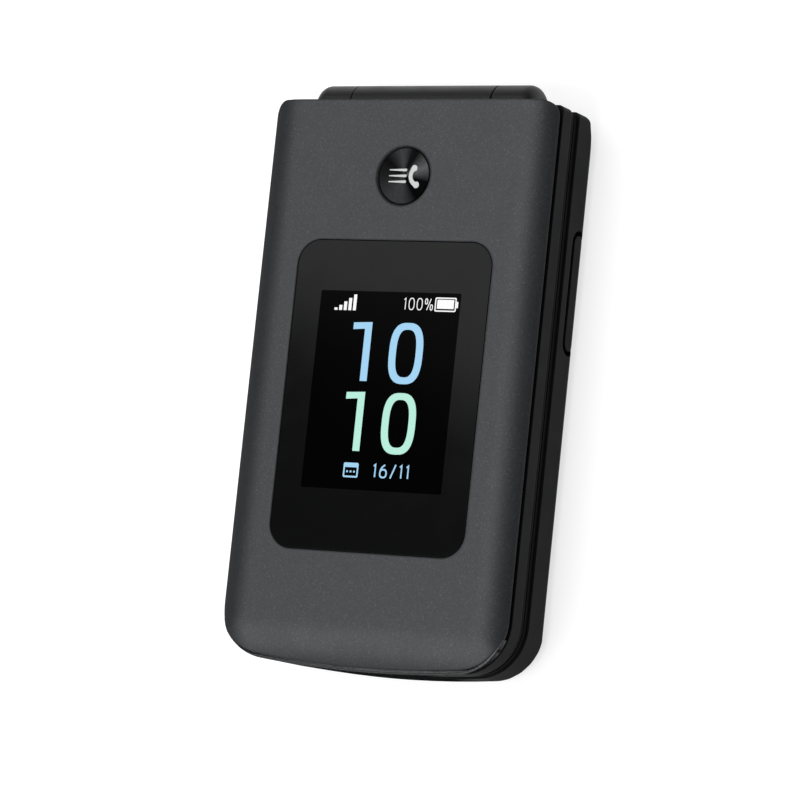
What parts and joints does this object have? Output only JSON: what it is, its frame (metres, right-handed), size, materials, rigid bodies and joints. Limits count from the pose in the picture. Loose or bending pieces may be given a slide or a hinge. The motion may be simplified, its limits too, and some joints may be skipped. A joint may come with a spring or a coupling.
{
  "type": "flip phone",
  "caption": "Clamshell mobile phone lying closed: rolled-edge metallic lid with outer screen window and round call button, offset hinge barrel, keypad and inner screen inside.",
  "frame": {"origin": "centre of the closed phone's footprint, on the surface it lies on", "axes": "+Z out of the lid's outer face when closed, +Y towards the hinge, +X towards the volume key's side"},
  "size_m": [0.0568, 0.105, 0.018],
  "materials": {
    "cover_paint": "fine metallic paint, satin",
    "trim_metal": "bright satin lip",
    "shell_plastic": "dark grey soft-touch",
    "black_plastic": "black semi-gloss",
    "window_glass": "polished, smoked",
    "display_module": "black glass face",
    "circuit_board": "solder mask green",
    "dome_steel": "polished spring steel",
    "button_black": "black, circular brushed",
    "component_black": "moulded black",
    "component_metal": "tinned sheet",
    "screw_steel": "zinc plated",
    "hinge_steel": "turned",
    "rubber_black": "moulded",
    "flex_amber": "polyimide film",
    "contact_gold": "gold plated",
    "battery_wrap": "printed film, left blank",
    "key_plastic": "satin",
    "nav_plastic": "satin metallic",
    "ok_plastic": "satin"
  },
  "bodies": {
    "base": {"rear_housing": "shell_plastic", "battery_cover": "shell_plastic", "battery": "battery_wrap", "keypad_frame": "black_plastic", "main_board": "circuit_board", "key_domes": "dome_steel", "keypad_mat": "rubber_black", "shield_can": "component_metal", "sim_holder": "component_metal", "battery_contacts": "contact_gold", "loudspeaker": "component_black", "vibration_motor": "component_metal", "rear_camera": "component_black", "camera_window": "window_glass", "usb_port": "component_metal", "base_screws": "screw_steel", "hinge_pin": "hinge_steel", "hinge_cam": "hinge_steel", "volume_switch": "component_black"},
    "lid": {"lid_cover": "cover_paint", "lid_trim": "trim_metal", "lid_housing": "shell_plastic", "lid_bezel": "black_plastic", "outer_window": "window_glass", "outer_display": "display_module", "main_window": "window_glass", "main_display": "display_module", "lid_board": "circuit_board", "button_dome": "dome_steel", "earpiece": "component_black", "lid_magnet": "component_metal", "lid_screws": "screw_steel", "lid_bumpers": "rubber_black", "hinge_canister": "hinge_steel", "hinge_flex": "flex_amber"},
    "call_button": {"call_button": "button_black"},
    "volume_key": {"volume_key": "shell_plastic"},
    "nav_ring": {"nav_ring": "nav_plastic"},
    "key_1": {"key_1": "key_plastic"},
    "key_2": {"key_2": "key_plastic"},
    "key_3": {"key_3": "key_plastic"},
    "key_4": {"key_4": "key_plastic"},
    "key_5": {"key_5": "key_plastic"},
    "key_6": {"key_6": "key_plastic"},
    "key_7": {"key_7": "key_plastic"},
    "key_8": {"key_8": "key_plastic"},
    "key_9": {"key_9": "key_plastic"},
    "key_star": {"key_star": "key_plastic"},
    "key_0": {"key_0": "key_plastic"},
    "key_hash": {"key_hash": "key_plastic"},
    "nav_ok": {"nav_ok": "ok_plastic"},
    "soft_left": {"soft_left": "key_plastic"},
    "soft_right": {"soft_right": "key_plastic"},
    "left_shortcut": {"left_shortcut": "key_plastic"},
    "right_shortcut": {"right_shortcut": "key_plastic"},
    "send_key": {"send_key": "key_plastic"},
    "clear_key": {"clear_key": "key_plastic"},
    "end_key": {"end_key": "key_plastic"}
  },
  "joints": [
    {"name": "lid_hinge", "type": "hinge", "parent": "base", "child": "lid", "pos_m": [0, 0.04805, 0.0095], "axis": [-1, 0, 0], "range_deg": [0, 160]},
    {"name": "call_button_press", "type": "slide", "parent": "lid", "child": "call_button", "axis": [0, 0, -1], "range_m": [0, 0.00035], "stiffness_N_per_m": 400},
    {"name": "volume_rock", "type": "hinge", "parent": "base", "child": "volume_key", "pos_m": [0.0262, 0.0168, 0.00365], "axis": [0, 0, 1], "range_deg": [-0.8, 0.8], "stiffness_Nm_per_rad": 0.05},
    {"name": "nav_tilt", "type": "hinge", "parent": "base", "child": "nav_ring", "pos_m": [0, 0.0294, 0.00775], "axis": [1, 0, 0], "range_deg": [-0.8, 0.8], "stiffness_Nm_per_rad": 0.05},
    {"name": "key_1_press", "type": "slide", "parent": "base", "child": "key_1", "axis": [0, 0, -1], "range_m": [0, 0.0003], "stiffness_N_per_m": 300},
    {"name": "key_2_press", "type": "slide", "parent": "base", "child": "key_2", "axis": [0, 0, -1], "range_m": [0, 0.0003], "stiffness_N_per_m": 300},
    {"name": "key_3_press", "type": "slide", "parent": "base", "child": "key_3", "axis": [0, 0, -1], "range_m": [0, 0.0003], "stiffness_N_per_m": 300},
    {"name": "key_4_press", "type": "slide", "parent": "base", "child": "key_4", "axis": [0, 0, -1], "range_m": [0, 0.0003], "stiffness_N_per_m": 300},
    {"name": "key_5_press", "type": "slide", "parent": "base", "child": "key_5", "axis": [0, 0, -1], "range_m": [0, 0.0003], "stiffness_N_per_m": 300},
    {"name": "key_6_press", "type": "slide", "parent": "base", "child": "key_6", "axis": [0, 0, -1], "range_m": [0, 0.0003], "stiffness_N_per_m": 300},
    {"name": "key_7_press", "type": "slide", "parent": "base", "child": "key_7", "axis": [0, 0, -1], "range_m": [0, 0.0003], "stiffness_N_per_m": 300},
    {"name": "key_8_press", "type": "slide", "parent": "base", "child": "key_8", "axis": [0, 0, -1], "range_m": [0, 0.0003], "stiffness_N_per_m": 300},
    {"name": "key_9_press", "type": "slide", "parent": "base", "child": "key_9", "axis": [0, 0, -1], "range_m": [0, 0.0003], "stiffness_N_per_m": 300},
    {"name": "key_star_press", "type": "slide", "parent": "base", "child": "key_star", "axis": [0, 0, -1], "range_m": [0, 0.0003], "stiffness_N_per_m": 300},
    {"name": "key_0_press", "type": "slide", "parent": "base", "child": "key_0", "axis": [0, 0, -1], "range_m": [0, 0.0003], "stiffness_N_per_m": 300},
    {"name": "key_hash_press", "type": "slide", "parent": "base", "child": "key_hash", "axis": [0, 0, -1], "range_m": [0, 0.0003], "stiffness_N_per_m": 300},
    {"name": "nav_ok_press", "type": "slide", "parent": "base", "child": "nav_ok", "axis": [0, 0, -1], "range_m": [0, 0.0003], "stiffness_N_per_m": 300},
    {"name": "soft_left_press", "type": "slide", "parent": "base", "child": "soft_left", "axis": [0, 0, -1], "range_m": [0, 0.0003], "stiffness_N_per_m": 300},
    {"name": "soft_right_press", "type": "slide", "parent": "base", "child": "soft_right", "axis": [0, 0, -1], "range_m": [0, 0.0003], "stiffness_N_per_m": 300},
    {"name": "left_shortcut_press", "type": "slide", "parent": "base", "child": "left_shortcut", "axis": [0, 0, -1], "range_m": [0, 0.0003], "stiffness_N_per_m": 300},
    {"name": "right_shortcut_press", "type": "slide", "parent": "base", "child": "right_shortcut", "axis": [0, 0, -1], "range_m": [0, 0.0003], "stiffness_N_per_m": 300},
    {"name": "send_key_press", "type": "slide", "parent": "base", "child": "send_key", "axis": [0, 0, -1], "range_m": [0, 0.0003], "stiffness_N_per_m": 300},
    {"name": "clear_key_press", "type": "slide", "parent": "base", "child": "clear_key", "axis": [0, 0, -1], "range_m": [0, 0.0003], "stiffness_N_per_m": 300},
    {"name": "end_key_press", "type": "slide", "parent": "base", "child": "end_key", "axis": [0, 0, -1], "range_m": [0, 0.0003], "stiffness_N_per_m": 300}
  ]
}
